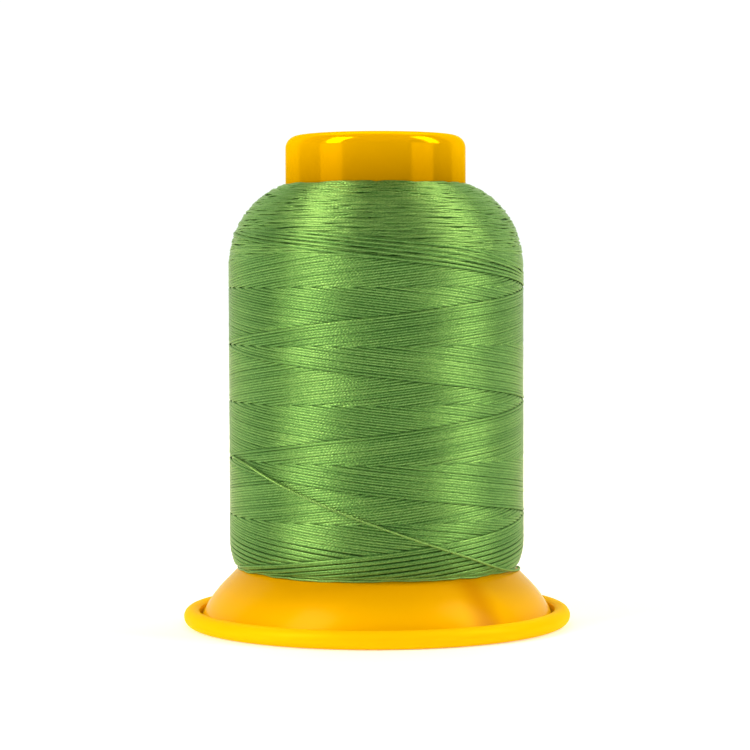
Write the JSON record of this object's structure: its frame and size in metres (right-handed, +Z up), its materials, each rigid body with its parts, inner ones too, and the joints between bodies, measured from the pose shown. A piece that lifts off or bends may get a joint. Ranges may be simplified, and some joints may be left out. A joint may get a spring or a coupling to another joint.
{
  "type": "spool of thread",
  "caption": "Snap-base spool of green sewing thread: moulded core with a rounded collar and flared foot, cross-wound package, and a base disc that pulls down to free the thread's end.",
  "frame": {"origin": "centre of the underside of the snap base, base closed", "axes": "+Z up along the spool's axis, -Y towards the side on which the loose end crosses the package"},
  "size_m": [0.0512, 0.0512, 0.0645],
  "materials": {
    "core_plastic": "moulded golden yellow, semi-gloss",
    "base_plastic": "moulded golden yellow, semi-gloss",
    "label_paper": "plain uncoated paper, blank",
    "thread": "shiny filament thread, leaf green"
  },
  "bodies": {
    "spool": {"spool_core": "core_plastic", "thread_winding": "thread", "thread_tail": "thread"},
    "base": {"snap_base": "base_plastic", "base_label": "label_paper"}
  },
  "joints": [
    {"name": "base_pull", "type": "slide", "parent": "base", "child": "spool", "axis": [0, 0, 1], "range_m": [0, 0.0025]}
  ]
}
